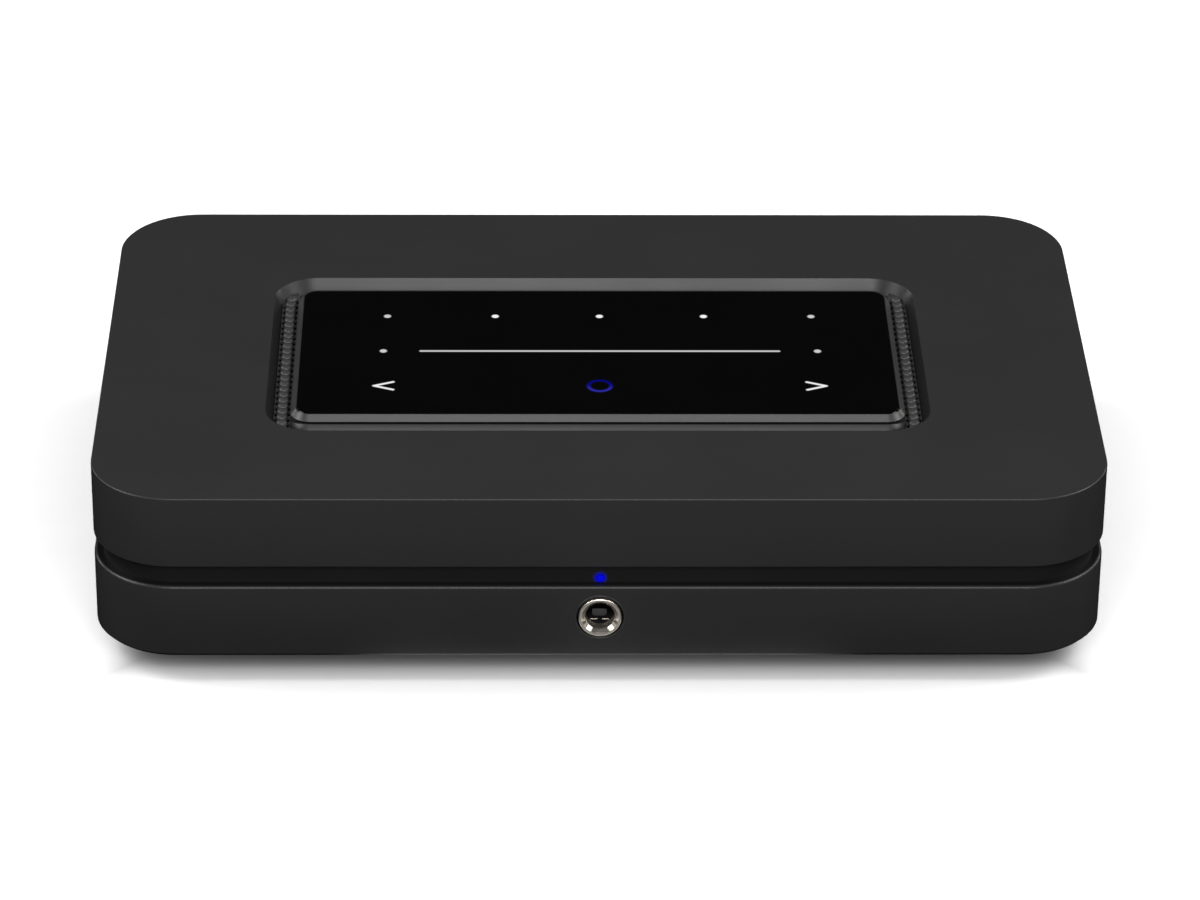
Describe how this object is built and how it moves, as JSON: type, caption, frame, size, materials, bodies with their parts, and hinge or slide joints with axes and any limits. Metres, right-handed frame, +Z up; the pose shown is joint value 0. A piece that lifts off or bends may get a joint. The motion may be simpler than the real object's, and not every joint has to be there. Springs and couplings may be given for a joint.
{
  "type": "network music streamer",
  "caption": "Low rounded black box with a groove round its middle, a glass touch panel sunk in the top between vent grilles, a headphone socket in front and sockets behind.",
  "frame": {"origin": "on the resting surface, under the middle of the overall outline, which runs from the headphone ring in front to the ends of the phono sockets behind", "axes": "+X to the right as seen from the front, +Y from the front to the back, +Z up"},
  "size_m": [0.22, 0.146, 0.046],
  "materials": {
    "housing_plastic": "satin black, finely textured",
    "frame_plastic": "matt black",
    "foot_rubber": "matt",
    "black_screw": "black oxide",
    "steel_screw": "bright zinc",
    "tray_plastic": "matt dark grey",
    "grille_plastic": "satin dark grey",
    "bezel_metal": "satin dark grey bevel",
    "black_glass": "polished, backed in black",
    "clear_plastic": "clear moulding",
    "circuit_board": "green solder mask",
    "ribbon_film": "amber film",
    "light_pipe": "clear, lit blue",
    "nickel": "nickel plate",
    "socket_plastic": "matt black",
    "contact_metal": "gold plate",
    "sink_aluminium": "natural",
    "screen_metal": "tin plate",
    "panel_plastic": "matt black",
    "white_core": "white",
    "red_core": "red",
    "orange_core": "orange",
    "shutter_plastic": "matt dark grey",
    "ferrite": "ground ferrite",
    "winding_tape": "yellow tape",
    "can_sleeve": "black sleeve"
  },
  "bodies": {
    "housing": {"upper_shell": "housing_plastic", "lower_shell": "housing_plastic", "mid_frame": "frame_plastic", "rubber_feet": "foot_rubber", "housing_screws": "black_screw", "board_screws": "steel_screw", "board_standoffs": "steel_screw", "touch_tray": "tray_plastic", "vent_grille_left": "grille_plastic", "vent_grille_right": "grille_plastic", "touch_bezel": "bezel_metal", "touch_glass": "black_glass", "light_guide": "clear_plastic", "touch_board": "circuit_board", "touch_ribbon": "ribbon_film", "status_light_pipe": "light_pipe", "headphone_ring": "nickel", "headphone_socket": "socket_plastic", "headphone_contacts": "contact_metal", "main_board": "circuit_board", "processor_heatsink": "sink_aluminium", "wireless_module": "screen_metal", "board_link": "socket_plastic", "rear_panel": "panel_plastic", "ethernet_socket": "screen_metal", "ethernet_contacts": "contact_metal", "usb_socket": "screen_metal", "usb_tongue": "socket_plastic", "hdmi_socket": "screen_metal", "hdmi_tongue": "socket_plastic", "optical_socket": "socket_plastic", "trigger_socket": "socket_plastic", "infrared_socket": "socket_plastic", "combo_input_socket": "socket_plastic", "line_socket_block": "socket_plastic", "sub_socket_block": "socket_plastic", "line_out_left_barrel": "nickel", "line_out_right_barrel": "nickel", "sub_out_barrel": "nickel", "coaxial_out_barrel": "nickel", "line_out_left_core": "white_core", "line_out_right_core": "red_core", "sub_out_core": "socket_plastic", "coaxial_out_core": "orange_core", "mains_inlet": "socket_plastic", "mains_pins": "screen_metal", "power_board": "circuit_board", "transformer_core": "ferrite", "transformer_winding": "winding_tape", "bulk_capacitor": "can_sleeve", "output_capacitors": "can_sleeve"},
    "shutter": {"optical_shutter": "shutter_plastic"}
  },
  "joints": [
    {"name": "optical_shutter_hinge", "type": "hinge", "parent": "housing", "child": "shutter", "pos_m": [-0.03854, 0.062, 0.0241], "axis": [-1, 0, 0], "range_deg": [0, 90], "stiffness_Nm_per_rad": 0.0001, "springref_deg": -20.05}
  ]
}
